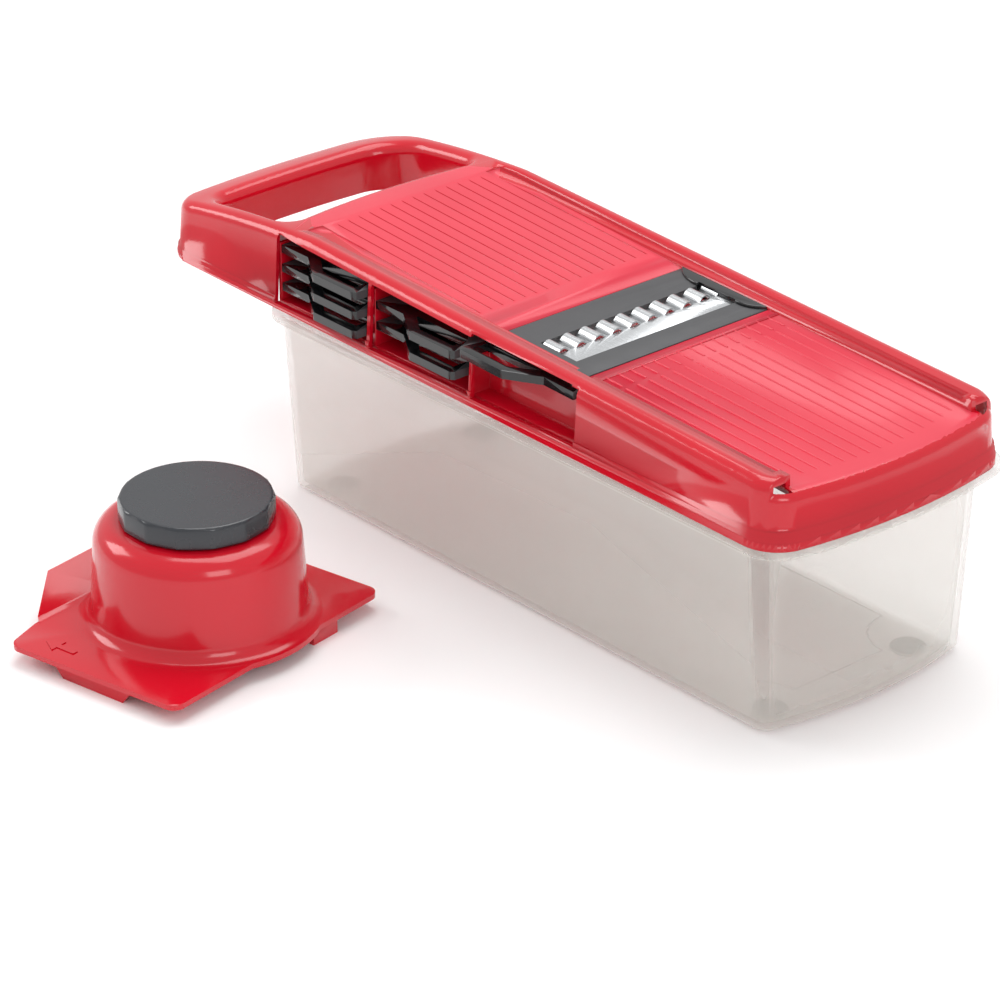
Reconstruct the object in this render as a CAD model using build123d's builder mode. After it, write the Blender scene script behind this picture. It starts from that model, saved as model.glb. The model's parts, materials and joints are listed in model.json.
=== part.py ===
"""Mandoline slicer: catch box, slicing frame, six blade inserts and a food holder.

Axes: +X runs down the slope towards the low front end, -X is the carrying handle, -Y is the
side that the inserts are drawn from and that the food holder stands on, +Z is up. The origin
is on the table, in the middle of the catch box's four foot pads. Lengths are millimetres.
"""
import os
from math import atan, degrees

from build123d import *

os.makedirs("parts", exist_ok=True)

# ---------------------------------------------------------------- driving dimensions
FOOT_X, FOOT_Y = 125.0, 37.0            # foot pad centres
FOOT_RADIUS, FOOT_HEIGHT = 7.0, 1.5

BOX_HALF_LENGTH, BOX_HALF_WIDTH = 137.5, 52.8   # at the box's bottom, at its corners
BOX_DRAFT_X, BOX_DRAFT_Y = 1.2, 5.8             # how far the walls lean out by the rim
BOX_BULGE = 7.0                                 # the end walls bow outwards by this much
BOX_WALL, BOX_FLOOR = 2.0, 2.4
RIM_UNDER, RIM_TOP = 79.1, 81.1                 # the flange that the frame sits on
RIM_HALF_LENGTH, RIM_HALF_WIDTH = 146.0, 64.0
RIM_SHIFT = 3.3                                 # it reaches further out at the front
RIM_RADIUS, RIM_BULGE = 16.0, 7.5
UPSTAND_TOP, UPSTAND_HALF_WIDTH, UPSTAND_HALF_LENGTH = 84.0, 59.2, 143.8
UPSTAND_WALL, UPSTAND_BACK = 1.8, -128.0        # the upstand stops short of the back end

SKIRT_HALF_WIDTH, SKIRT_FRONT = 62.2, 147.4     # red frame at its lower edge
SKIRT_RADIUS, SKIRT_BULGE = 16.0, 7.5
SKIRT_STEPS = ((84.6, 0.0), (86.6, 0.35), (88.6, 0.7))  # top and inset of each band step
SKIRT_RISE = 0.0098                             # the skirt's lower edge climbs to the handle
WALL_INSET, FRAME_DRAFT = 1.0, 2.2              # the walls above the band, and their lean
FRAME_LOW, FRAME_HIGH = 81.2, 120.0
FRAME_WALL = 2.2
HANDLE_END, HANDLE_END_BULGE = -209.5, 5.5
HANDLE_NEAR_RADIUS, HANDLE_FAR_RADIUS = 18.0, 30.0

RAIL_TOP_AT_ORIGIN, RAIL_SLOPE = 113.0, 0.038   # rail top: z = 113.0 - 0.038 x
RAIL_INNER, RAIL_SHELF = 47.0, 51.0             # rail's inner face, and its guide shelf
SHELF_DROP, SHELF_START, SHELF_END = 1.6, -128.0, 137.0
RAIL_ROUND, OPENING_ROUND, FRONT_ROUND = 5.0, 5.0, 4.0
RAIL_SKIN = 2.6                                 # plastic above the hollow in a rail
RAIL_END = 142.0
HANDLE_START = -118.0                           # where the rail begins to curve down

UPPER_DECK_AT_ORIGIN, UPPER_DECK_SLOPE = 109.44, 0.058
LOWER_DECK_AT_ORIGIN, LOWER_DECK_SLOPE = 109.8, 0.047
DECK_SKIN = 2.4
DECK_BACK_NEAR, DECK_BACK_MID = -141.2, -145.5  # the deck's arched back edge
OPENING_END, OPENING_HALF_WIDTH = -192.0, 49.0  # handle's end bar and rails, inner faces
OPENING_NEAR_RADIUS, OPENING_FAR_RADIUS = 11.0, 20.0
INNER_WALL_LOW = 90.0                           # the wall round the hand opening ends here

GROOVE_COUNT, GROOVE_PITCH = 16, 5.8            # fine grooves along the upper ramp
GROOVE_WIDE, GROOVE_DEEP = 0.7, 0.45
GROOVE_START, GROOVE_END = -124.5, -31.0

INSERT_CENTRE = 9.75                            # middle of the working insert, along X
INSERT_TOP = 109.08                             # height of its top face at that middle
INSERT_TILT = degrees(atan(0.028))
INSERT_WIDTH, INSERT_FACE = 56.0, 48.3          # over the flanges, and of the raised face
INSERT_NEAR, INSERT_FAR = -57.5, 46.7           # its two ends, along Y
FLANGE_THICK, FACE_RAISE = 3.4, 1.8
BLADE_THICK = 0.6
SLIDE_GAP = 0.4

BAY_FLOOR = 85.9                                # top of the tray's floor
TRAY_SKIN = 1.5
POST_1, POST_2 = -78.6, -17.6                   # posts between the storage bays
POST_THICK = 1.8
BAY_1_LEFT, BAY_3_RIGHT = -136.7, 42.0
STORED_1_CENTRE, STORED_2_CENTRE = -108.1, -49.4
STORED_1_TOPS = (93.5, 101.7, 109.9)
STORED_2_TOPS = (96.4, 105.2)

HOLDER_X, HOLDER_Y, HOLDER_TURN = -65.0, -157.0, 10.5
DOME_RADIUS, DOME_TOP, HOLDER_SKIN = 41.0, 48.6, 2.2
PLATE_UNDER = 6.0
KNOB_RADIUS, KNOB_HEIGHT = 30.2, 9.4


def write_piece(piece, name):
    """Label one piece and write it to its own file."""
    piece.label = name
    export_step(piece, "parts/" + name + ".step")


# ---------------------------------------------------------------- shared outlines
def bulged_outline(half_length, half_width, bulge, radius, height):
    """A rectangle whose two ends bow outwards, with rounded corners."""
    with BuildSketch(Plane.XY.offset(height)) as outline:
        with BuildLine():
            Line((-half_length, -half_width), (half_length, -half_width))
            ThreePointArc((half_length, -half_width), (half_length + bulge, 0),
                          (half_length, half_width))
            Line((half_length, half_width), (-half_length, half_width))
            ThreePointArc((-half_length, half_width), (-half_length - bulge, 0),
                          (-half_length, -half_width))
        make_face()
        fillet(outline.vertices(), radius)
    return outline.sketch


def frame_outline(inset, height):
    """The frame's plan: bowed front end, straight sides and the handle's rounded end."""
    width, front = SKIRT_HALF_WIDTH - inset, SKIRT_FRONT - inset
    back = HANDLE_END + inset
    with BuildSketch(Plane.XY.offset(height)) as outline:
        with BuildLine():
            Line((back, -width), (front, -width))
            ThreePointArc((front, -width), (front + SKIRT_BULGE, 0), (front, width))
            Line((front, width), (back, width))
            ThreePointArc((back, width), (back - HANDLE_END_BULGE, 0), (back, -width))
        make_face()
        for is_corner, radius in ((lambda v: v.X > front - 1, SKIRT_RADIUS),
                                  (lambda v: v.X < back + 1 and v.Y < 0, HANDLE_NEAR_RADIUS),
                                  (lambda v: v.X < back + 1 and v.Y > 0, HANDLE_FAR_RADIUS)):
            fillet(outline.vertices().filter_by(is_corner), radius - inset)
    return outline.sketch


def opening_outline(grow, height):
    """The hand opening between the handle's bar and the deck's arched back edge."""
    width = OPENING_HALF_WIDTH + grow
    near, middle, end = DECK_BACK_NEAR + grow, DECK_BACK_MID + grow, OPENING_END - grow
    with BuildSketch(Plane.XY.offset(height)) as outline:
        with BuildLine():
            ThreePointArc((near, -width), (middle, 0), (near, width))
            Line((near, width), (end, width))
            ThreePointArc((end, width), (end - HANDLE_END_BULGE / 2, 0), (end, -width))
            Line((end, -width), (near, -width))
        make_face()
        fillet(outline.vertices().filter_by(lambda v: v.X < end + 1 and v.Y < 0),
               OPENING_NEAR_RADIUS + grow)
        fillet(outline.vertices().filter_by(lambda v: v.X < end + 1 and v.Y > 0),
               OPENING_FAR_RADIUS + grow)
        fillet(outline.vertices().filter_by(lambda v: v.X > near - 1), 6.0 + grow)
    return outline.sketch


def rail_top(x):
    """Height of the rails' top line at x."""
    return RAIL_TOP_AT_ORIGIN - RAIL_SLOPE * x


def upper_deck(x):
    """Height of the ramp that the food starts on."""
    return UPPER_DECK_AT_ORIGIN - UPPER_DECK_SLOPE * x


def lower_deck(x):
    """Height of the ramp past the blade."""
    return LOWER_DECK_AT_ORIGIN - LOWER_DECK_SLOPE * x


def above_rails(drop):
    """Everything above the rails' and the handle's top line, lowered by drop."""
    with BuildPart() as space:
        with BuildSketch(Plane.XZ):
            with BuildLine():
                Line((190, 170), (190, rail_top(190) - drop))
                Line((190, rail_top(190) - drop), (HANDLE_START, rail_top(HANDLE_START) - drop))
                ThreePointArc((HANDLE_START, rail_top(HANDLE_START) - drop),
                              (-168.0, 113.6 - drop), (-222.0, 104.6 - drop))
                Line((-222.0, 104.6 - drop), (-260, 98.0 - drop))
                Line((-260, 98.0 - drop), (-260, 170))
                Line((-260, 170), (190, 170))
            make_face()
        extrude(amount=100, both=True)
    return space.part


def above_deck(drop, half_width):
    """Everything above the two ramps, lowered by drop, between the rails."""
    insert_left = INSERT_CENTRE - INSERT_FACE / 2
    insert_right = INSERT_CENTRE + INSERT_FACE / 2
    with BuildPart() as space:
        with BuildSketch(Plane.XZ):
            with BuildLine():
                Polyline((190, 150), (190, lower_deck(190) - drop),
                         (insert_right, lower_deck(insert_right) - drop),
                         (insert_left, upper_deck(insert_left) - 0.6 - drop),
                         (insert_left - 9.0, upper_deck(insert_left - 9.0) - drop),
                         (-170, upper_deck(-170) - drop), (-170, 150), (190, 150))
            make_face()
        extrude(amount=half_width, both=True)
    return space.part


# ---------------------------------------------------------------- catch box
with BuildPart() as catch_box:
    loft([bulged_outline(BOX_HALF_LENGTH, BOX_HALF_WIDTH, BOX_BULGE, 6.0, FOOT_HEIGHT),
          bulged_outline(BOX_HALF_LENGTH + BOX_DRAFT_X, BOX_HALF_WIDTH + BOX_DRAFT_Y,
                         BOX_BULGE, 8.0, RIM_TOP)])
    fillet(catch_box.faces().sort_by(Axis.Z)[0].edges(), 1.6)
    extrude(bulged_outline(RIM_HALF_LENGTH, RIM_HALF_WIDTH, RIM_BULGE, RIM_RADIUS,
                           RIM_UNDER).moved(Location((RIM_SHIFT, 0, 0))),
            amount=RIM_TOP - RIM_UNDER)
    extrude(bulged_outline(UPSTAND_HALF_LENGTH, UPSTAND_HALF_WIDTH, RIM_BULGE,
                           RIM_RADIUS - 4, RIM_TOP), amount=UPSTAND_TOP - RIM_TOP)
    loft([bulged_outline(BOX_HALF_LENGTH - BOX_WALL, BOX_HALF_WIDTH - BOX_WALL, BOX_BULGE,
                         4.0, FOOT_HEIGHT + BOX_FLOOR),
          bulged_outline(BOX_HALF_LENGTH + BOX_DRAFT_X - BOX_WALL,
                         BOX_HALF_WIDTH + BOX_DRAFT_Y - BOX_WALL, BOX_BULGE, 6.0, RIM_TOP)],
         mode=Mode.SUBTRACT)
    extrude(bulged_outline(UPSTAND_HALF_LENGTH - UPSTAND_WALL, UPSTAND_HALF_WIDTH - UPSTAND_WALL,
                           RIM_BULGE, RIM_RADIUS - 6, RIM_TOP),
            amount=UPSTAND_TOP - RIM_TOP, mode=Mode.SUBTRACT)
    with BuildSketch(Plane.XY.offset(RIM_TOP)):
        with Locations((UPSTAND_BACK - 50, 0)):
            Rectangle(100, 140)
    extrude(amount=10, mode=Mode.SUBTRACT)
write_piece(catch_box.part, "catch_box")

FOOT_PLACES = {"front_near": (FOOT_X, -FOOT_Y), "front_far": (FOOT_X, FOOT_Y),
               "back_near": (-FOOT_X, -FOOT_Y), "back_far": (-FOOT_X, FOOT_Y)}
for place, (foot_x, foot_y) in FOOT_PLACES.items():
    with BuildPart() as foot_pad:
        with BuildSketch():
            with Locations((foot_x, foot_y)):
                Circle(FOOT_RADIUS)
        extrude(amount=FOOT_HEIGHT)
        chamfer(foot_pad.faces().sort_by(Axis.Z)[0].edges(), 0.4)
    write_piece(foot_pad.part, "foot_pad_" + place)


# ---------------------------------------------------------------- slicing frame
def frame_shell(inset):
    """The frame's plan carried up its leaning walls, from its lower edge to over its top."""
    with BuildPart() as shell:
        loft([frame_outline(inset, FRAME_LOW), frame_outline(inset + FRAME_DRAFT, FRAME_HIGH)])
    return shell.part


def frame_cavity():
    """The hollow under the deck, inside the rails and inside the handle."""
    with BuildPart() as cavity:
        add(frame_shell(WALL_INSET + FRAME_WALL - 0.6))
        extrude(opening_outline(FRAME_WALL, FRAME_LOW - 1), amount=60, mode=Mode.SUBTRACT)
        add(above_rails(RAIL_SKIN), mode=Mode.SUBTRACT)
        add(above_deck(DECK_SKIN, RAIL_INNER + FRAME_WALL), mode=Mode.SUBTRACT)
    return cavity.part


def bay_window(left, right, low, high):
    """One opening in the near wall, up to a little under the rail's top line."""
    with BuildPart() as window:
        with BuildSketch(Plane.XZ.offset(55.0)):
            with BuildLine():
                Polyline((left, low), (right, low), (right, rail_top(right) - high),
                         (left, rail_top(left) - high), (left, low))
            make_face()
        extrude(amount=12)
    return window.part


def insert_slot():
    """Clear space that the working insert slides through, across the deck."""
    with BuildPart() as slot:
        with BuildSketch(Plane.XZ):
            with BuildLine():
                half, face = INSERT_WIDTH / 2 + SLIDE_GAP, INSERT_FACE / 2 + SLIDE_GAP
                low, high = -FLANGE_THICK - FACE_RAISE - 0.3, 20.0
                flange_top = -FACE_RAISE + 0.3
                Polyline((-half, low), (half, low), (half, flange_top), (face, flange_top),
                         (face, high), (-face, high), (-face, flange_top),
                         (-half, flange_top), (-half, low))
            make_face()
        extrude(amount=RAIL_INNER - 0.01, both=True)
    return slot.part.rotate(Axis.Y, INSERT_TILT).moved(
        Location((INSERT_CENTRE, 0, INSERT_TOP)))


def rail_tunnel():
    """Where the working insert passes out under the near rail."""
    with BuildPart() as tunnel:
        with BuildSketch(Plane.XZ.offset(RAIL_INNER - 1.0)):
            with BuildLine():
                half = INSERT_WIDTH / 2 + SLIDE_GAP
                low, high = -FLANGE_THICK - FACE_RAISE - 0.3, 1.75
                Polyline((-half, low), (half, low), (half, high), (-half, high), (-half, low))
            make_face()
        extrude(amount=18)
    return tunnel.part.rotate(Axis.Y, INSERT_TILT).moved(
        Location((INSERT_CENTRE, 0, INSERT_TOP)))


def insert_guides():
    """The two L-shaped guides under the deck that carry the working insert's flanges."""
    half = INSERT_WIDTH / 2 + SLIDE_GAP
    floor = -FLANGE_THICK - FACE_RAISE - 0.3
    with BuildPart() as guides:
        with BuildSketch(Plane.XZ):
            for side in (-1, 1):
                with BuildLine():
                    Polyline((side * half, 0.0), (side * (half + 1.7), 0.0),
                             (side * (half + 1.7), floor - 1.4),
                             (side * (half - 3.4), floor - 1.4), (side * (half - 3.4), floor),
                             (side * half, floor), (side * half, 0.0))
                make_face()
        extrude(amount=RAIL_INNER + 1.0, both=True)
    return guides.part.rotate(Axis.Y, INSERT_TILT).moved(
        Location((INSERT_CENTRE, 0, INSERT_TOP)))


def skirt_cut():
    """What is under the skirt's lower edge, which climbs a little towards the handle."""
    front, back = 190.0, -260.0
    with BuildPart() as space:
        with BuildSketch(Plane.XZ):
            with BuildLine():
                Polyline((front, FRAME_LOW), (150.0, FRAME_LOW),
                         (back, FRAME_LOW + SKIRT_RISE * (150.0 - back)), (back, 60.0),
                         (front, 60.0), (front, FRAME_LOW))
            make_face()
        extrude(amount=90, both=True)
    return space.part


def rail_shelf(side):
    """Space above the guide shelf, on the inner side of one rail."""
    with BuildPart() as space:
        with BuildSketch(Plane.XZ.offset(-side * (RAIL_SHELF + RAIL_INNER - 4.0) / 2)):
            with BuildLine():
                Polyline((SHELF_START, 150), (SHELF_START, rail_top(SHELF_START) - SHELF_DROP),
                         (SHELF_END, rail_top(SHELF_END) - SHELF_DROP), (SHELF_END, 150),
                         (SHELF_START, 150))
            make_face()
        extrude(amount=(RAIL_SHELF - RAIL_INNER + 4.0) / 2, both=True)
    return space.part


def deck_grooves():
    """Fine grooves along the upper ramp, which start inside its arched back edge."""
    with BuildPart() as grooves:
        for index in range(GROOVE_COUNT):
            across = (index - (GROOVE_COUNT - 1) / 2) * GROOVE_PITCH
            start = GROOVE_START - 3.0 * (1 - (across / RAIL_INNER) ** 2)
            with BuildSketch(Plane.XZ.offset(-across)):
                with BuildLine():
                    Polyline((start, 125), (start, upper_deck(start)),
                             (start + 1.5, upper_deck(start + 1.5) - GROOVE_DEEP),
                             (GROOVE_END - 1.5, upper_deck(GROOVE_END - 1.5) - GROOVE_DEEP),
                             (GROOVE_END, upper_deck(GROOVE_END)), (GROOVE_END, 125),
                             (start, 125))
                make_face()
            extrude(amount=GROOVE_WIDE / 2, both=True)
    return grooves.part


def on_outer_rim(edge):
    """The top line of the outer walls, along both rails and round the handle."""
    box, middle = edge.bounding_box(), edge.center()
    on_wall = middle.X < RAIL_END - 0.5 and (abs(middle.Y) > 57 or middle.X < -205)
    return box.max.Z > 104.5 and box.size.Z < 12 and on_wall and edge.length > 6


def on_front_lip(edge):
    """The deck's front edge, past the ends of the rails."""
    box = edge.bounding_box()
    return box.min.X > RAIL_END - 0.1 and box.max.X > 147 and box.size.Z < 0.7 \
        and edge.center().Z > 102


def on_opening_rim(edge):
    """The top edge of the hand opening, with the deck's arched back edge."""
    box, middle = edge.bounding_box(), edge.center()
    return box.max.X < -137 and box.min.X > -198 and abs(middle.Y) < 49.5 \
        and middle.Z > 105 and box.size.Z < 4


with BuildPart() as slicer_frame:
    add(frame_shell(WALL_INSET))
    for step_top, step_inset in SKIRT_STEPS:
        extrude(frame_outline(step_inset, FRAME_LOW), amount=step_top - FRAME_LOW)
    add(above_rails(0.0), mode=Mode.SUBTRACT)
    # the deck sits between the rails, and the rails stop short of the front edge
    add(above_deck(0.0, RAIL_INNER), mode=Mode.SUBTRACT)
    extrude(opening_outline(0.0, 60), amount=80, mode=Mode.SUBTRACT)
    with BuildSketch(Plane.XZ):
        with BuildLine():
            Polyline((RAIL_END, 150), (RAIL_END, lower_deck(RAIL_END)), (190, lower_deck(190)),
                     (190, 150), (RAIL_END, 150))
        make_face()
    extrude(amount=80, both=True, mode=Mode.SUBTRACT)
    fillet(slicer_frame.edges().filter_by(on_front_lip), FRONT_ROUND)
    fillet(slicer_frame.edges().filter_by(on_outer_rim), RAIL_ROUND)
    fillet(slicer_frame.edges().filter_by(on_opening_rim), OPENING_ROUND)
    for side in (-1, 1):
        add(rail_shelf(side), mode=Mode.SUBTRACT)
    add(deck_grooves(), mode=Mode.SUBTRACT)
    extrude(opening_outline(FRAME_WALL + 0.1, FRAME_LOW - 5), mode=Mode.SUBTRACT,
            amount=INNER_WALL_LOW - FRAME_LOW + 5)
    add(frame_cavity(), mode=Mode.SUBTRACT)
    add(skirt_cut(), mode=Mode.SUBTRACT)
    add(insert_guides())
    add(insert_slot(), mode=Mode.SUBTRACT)
    for left, right, high in ((BAY_1_LEFT, POST_1 - POST_THICK / 2, 3.4),
                              (POST_1 + POST_THICK / 2, POST_2 - POST_THICK / 2, 3.4),
                              (POST_2 + POST_THICK / 2, BAY_3_RIGHT, 2.0)):
        add(bay_window(left, right, BAY_FLOOR, high), mode=Mode.SUBTRACT)
    add(rail_tunnel(), mode=Mode.SUBTRACT)
write_piece(slicer_frame.part, "slicer_frame")


# ---------------------------------------------------------------- insert tray
def wall_block(x_range, y_range, z_range):
    """A plain wall of the tray between the given limits."""
    with BuildPart() as wall:
        with BuildSketch(Plane.XY.offset(z_range[0])):
            with Locations(((x_range[0] + x_range[1]) / 2, (y_range[0] + y_range[1]) / 2)):
                Rectangle(x_range[1] - x_range[0], y_range[1] - y_range[0])
        extrude(amount=z_range[1] - z_range[0])
    return wall.part


TRAY_UNDER = BAY_FLOOR - TRAY_SKIN
TRAY_NEAR, TRAY_FAR = -57.6, 50.0
TRAY_LEFT, TRAY_RIGHT = -138.4, -18.8           # outer faces of the walls of bays 1 and 2
POCKET_BACK = -48.0                             # bay 3 is only a finger pocket
RIB_REACH, RIB_THICK = 2.5, 1.1

with BuildPart() as insert_tray:
    add(wall_block((TRAY_LEFT, TRAY_RIGHT), (TRAY_NEAR, TRAY_FAR), (TRAY_UNDER, BAY_FLOOR)))
    add(wall_block((TRAY_LEFT, TRAY_LEFT + 1.7), (TRAY_NEAR, 44.0), (TRAY_UNDER, 110.6)))
    add(wall_block((POST_1 - POST_THICK / 2, POST_1 + POST_THICK / 2), (TRAY_NEAR, TRAY_FAR),
                   (TRAY_UNDER, 110.2)))
    add(wall_block((TRAY_RIGHT - 1.7, TRAY_RIGHT), (TRAY_NEAR, TRAY_FAR), (TRAY_UNDER, 102.2)))
    add(wall_block((TRAY_LEFT + 8.0, TRAY_RIGHT), (TRAY_FAR - 1.6, TRAY_FAR),
                   (TRAY_UNDER, 102.2)))
    # finger pocket in front of the working insert's pull
    add(wall_block((TRAY_RIGHT, BAY_3_RIGHT + 1.8), (TRAY_NEAR, POCKET_BACK),
                   (TRAY_UNDER, BAY_FLOOR)))
    add(wall_block((TRAY_RIGHT, BAY_3_RIGHT + 1.8), (POCKET_BACK - 1.6, POCKET_BACK),
                   (TRAY_UNDER, 101.4)))
    add(wall_block((BAY_3_RIGHT, BAY_3_RIGHT + 1.8), (TRAY_NEAR, POCKET_BACK),
                   (TRAY_UNDER, 101.4)))
    # shelves that the stored inserts' flanges slide on
    for left, right, tops in ((TRAY_LEFT + 1.7, POST_1 - POST_THICK / 2, STORED_1_TOPS),
                              (POST_1 + POST_THICK / 2, TRAY_RIGHT - 1.7, STORED_2_TOPS)):
        for top in tops:
            shelf = top - FLANGE_THICK - 0.1
            for inner, outer in ((left, left + RIB_REACH), (right - RIB_REACH, right)):
                add(wall_block((inner, outer), (-50.0, 44.0), (shelf - RIB_THICK, shelf)))
write_piece(insert_tray.part, "insert_tray")


# ---------------------------------------------------------------- blade inserts
# Each insert is drawn lying face up, with its top face at z = 0 and its own middle at x = 0.
# The food comes from -X, so the cutting edge looks that way.
FLANGE_LOW = -FACE_RAISE - FLANGE_THICK
BLADE_SEAT = -1.3                               # floor of the recess that the steel sits in
WINDOW_Y = 41.5
EDGE_X, SEAT_X, BLADE_REAR = -7.0, 2.0, 12.0    # cutting edge, start of the seat, back edge


def working_place(piece):
    """Put an insert's piece into the deck, leaning with the ramps."""
    return piece.rotate(Axis.Y, INSERT_TILT).moved(Location((INSERT_CENTRE, 0, INSERT_TOP)))


def stored_place(piece, centre, top):
    """Put an insert's piece into a bay, face down, with its flanges' upper side at top."""
    return piece.rotate(Axis.Y, 180).moved(Location((centre, 0, top + FLANGE_LOW)))


def insert_frame(window_left, window_right, seat_left, seat_right):
    """The plastic part of an insert: flanged plate, window, seat, pull loop and end fence."""
    half, face = INSERT_WIDTH / 2, INSERT_FACE / 2
    with BuildPart() as plate:
        with BuildSketch(Plane.XY.offset(FLANGE_LOW)):
            with BuildLine():
                Polyline((-half, INSERT_NEAR), (-half, -65.0), (-half + 1.6, -66.4),
                         (-2.6, -66.4), (11.5, INSERT_NEAR), (half, INSERT_NEAR),
                         (half, INSERT_FAR), (-half, INSERT_FAR), (-half, INSERT_NEAR))
            make_face()
            with BuildLine():
                Polyline((-half + 4.2, -54.8), (-half + 4.2, -62.2), (-4.2, -62.2),
                         (5.6, -55.6), (5.6, -54.8), (-half + 4.2, -54.8))
            make_face(mode=Mode.SUBTRACT)
        extrude(amount=FLANGE_THICK)
        fillet(plate.edges().filter_by(Axis.Z).group_by(Axis.Y)[0], 1.4)
        with BuildSketch(Plane.XY.offset(-FACE_RAISE)):
            Rectangle(2 * face, 2 * INSERT_FAR)
        extrude(amount=FACE_RAISE)
        # low fence at the far end, which keeps the food on the blade
        with BuildSketch(Plane.XY):
            with BuildLine():
                Line((face - 0.2, INSERT_FAR), (-face + 0.2, INSERT_FAR))
                ThreePointArc((-face + 0.2, INSERT_FAR), (-17.0, 41.6), (-6.0, 40.4))
                Line((-6.0, 40.4), (12.0, 41.0))
                ThreePointArc((12.0, 41.0), (20.0, 42.6), (face - 0.2, INSERT_FAR))
            make_face()
        extrude(amount=1.3)
        fillet(plate.faces().sort_by(Axis.Z)[-1].edges(), 0.6)
        with BuildSketch(Plane.XY.offset(FLANGE_LOW)):
            with Locations(((window_left + window_right) / 2, 0)):
                Rectangle(window_right - window_left, 2 * WINDOW_Y)
        extrude(amount=12, mode=Mode.SUBTRACT)
        with BuildSketch(Plane.XY.offset(BLADE_SEAT)):
            with Locations(((seat_left + seat_right) / 2, 0)):
                Rectangle(seat_right - seat_left, 2 * WINDOW_Y)
        extrude(amount=12, mode=Mode.SUBTRACT)
    return plate.part


def straight_blade(edge_height):
    """A flat steel blade whose ground edge stands edge_height over the insert's face."""
    rear, thick = BLADE_REAR - 0.1, BLADE_THICK
    with BuildPart() as blade:
        with BuildSketch(Plane.XZ):
            with BuildLine():
                Polyline((rear, BLADE_SEAT), (rear, BLADE_SEAT + thick),
                         (SEAT_X, BLADE_SEAT + thick), (EDGE_X + 1.6, edge_height),
                         (EDGE_X, edge_height - 0.1), (EDGE_X + 1.6, edge_height - thick),
                         (SEAT_X, BLADE_SEAT), (rear, BLADE_SEAT))
            make_face()
        extrude(amount=WINDOW_Y - 0.1, both=True)
    return blade.part


def wavy_blade(waves, swing, middle):
    """A crinkle-cutting blade: a corrugated front that runs into a flat back."""
    half, thick = WINDOW_Y - 0.1, BLADE_THICK
    step = half / waves
    with BuildPart() as blade:
        with BuildSketch(Plane.YZ.offset(EDGE_X)):
            with BuildLine():
                for level, heading in ((middle, 1), (middle - thick, -1)):
                    for index in range(2 * waves):
                        start = heading * (-half + index * step)
                        bow = swing if (index % 2 == 0) == (heading == 1) else -swing
                        ThreePointArc((start, level), (start + heading * step / 2, level + bow),
                                      (start + heading * step, level))
                Line((half, middle), (half, middle - thick))
                Line((-half, middle), (-half, middle - thick))
            make_face()
        extrude(amount=SEAT_X - EDGE_X)
        with BuildSketch(Plane.XY.offset(BLADE_SEAT)):
            with Locations(((SEAT_X + BLADE_REAR) / 2 - 0.25, 0)):
                Rectangle(BLADE_REAR - SEAT_X + 0.3, 2 * half)
        extrude(amount=thick)
    return blade.part


def tooth_comb(pitch):
    """The comb of upright steel teeth that cuts a slice into sticks."""
    half = WINDOW_Y - 0.1
    count = int(2 * half / pitch)
    with BuildPart() as comb:
        with BuildSketch(Plane.XY.offset(BLADE_SEAT)):
            with Locations((-12.9, 0)):
                Rectangle(5.8, 2 * half)
        extrude(amount=BLADE_THICK)
        with BuildSketch(Plane.XY.offset(BLADE_SEAT)):
            with GridLocations(1, pitch, 1, count):
                with Locations((-9.0, 0)):
                    Rectangle(2.4, 0.6)
        extrude(amount=2.6)
    return comb.part


def grater_plate():
    """A perforated steel plate with a raised lip beside each hole."""
    with BuildPart() as plate:
        with BuildSketch(Plane.XY.offset(BLADE_SEAT)):
            Rectangle(32.0, 2 * WINDOW_Y - 0.2)
            with GridLocations(7.2, 7.2, 4, 11):
                Circle(2.0, mode=Mode.SUBTRACT)
        extrude(amount=BLADE_THICK)
        with BuildSketch(Plane.XY.offset(BLADE_SEAT + BLADE_THICK)):
            with GridLocations(7.2, 7.2, 4, 11):
                Circle(2.8)
                Circle(2.2, mode=Mode.SUBTRACT)
                with Locations((-2.6, 0)):
                    Rectangle(5.2, 5.8, mode=Mode.SUBTRACT)
        extrude(amount=1.2)
    return plate.part


narrow_window = (-8.6, SEAT_X, EDGE_X, BLADE_REAR)
comb_window = (-10.0, SEAT_X, -16.0, BLADE_REAR)
grater_window = (-14.0, 14.0, -16.1, 16.1)

STORED = {"thick_slicer": (STORED_1_CENTRE, STORED_1_TOPS[2]),
          "thin_slicer": (STORED_1_CENTRE, STORED_1_TOPS[1]),
          "coarse_grater": (STORED_1_CENTRE, STORED_1_TOPS[0]),
          "wide_julienne": (STORED_2_CENTRE, STORED_2_TOPS[1]),
          "fine_julienne": (STORED_2_CENTRE, STORED_2_TOPS[0])}

write_piece(working_place(insert_frame(*narrow_window)), "crinkle_frame")
write_piece(working_place(wavy_blade(9, 1.2, 0.1)), "crinkle_blade")
for insert, (centre, top) in STORED.items():
    if insert == "coarse_grater":
        pieces = {"frame": insert_frame(*grater_window), "plate": grater_plate()}
    elif insert.endswith("julienne"):
        pieces = {"frame": insert_frame(*comb_window), "blade": straight_blade(0.6),
                  "comb": tooth_comb(8.0 if insert.startswith("wide") else 3.6)}
    else:
        pieces = {"frame": insert_frame(*narrow_window),
                  "blade": straight_blade(1.2 if insert.startswith("thick") else 0.5)}
    for kind, piece in pieces.items():
        write_piece(stored_place(piece, centre, top), insert + "_" + kind)


# ---------------------------------------------------------------- food holder
def holder_place(piece):
    """Put a piece of the food holder where it stands, beside the slicer."""
    return piece.rotate(Axis.Z, HOLDER_TURN).moved(Location((HOLDER_X, HOLDER_Y, 0)))


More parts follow.
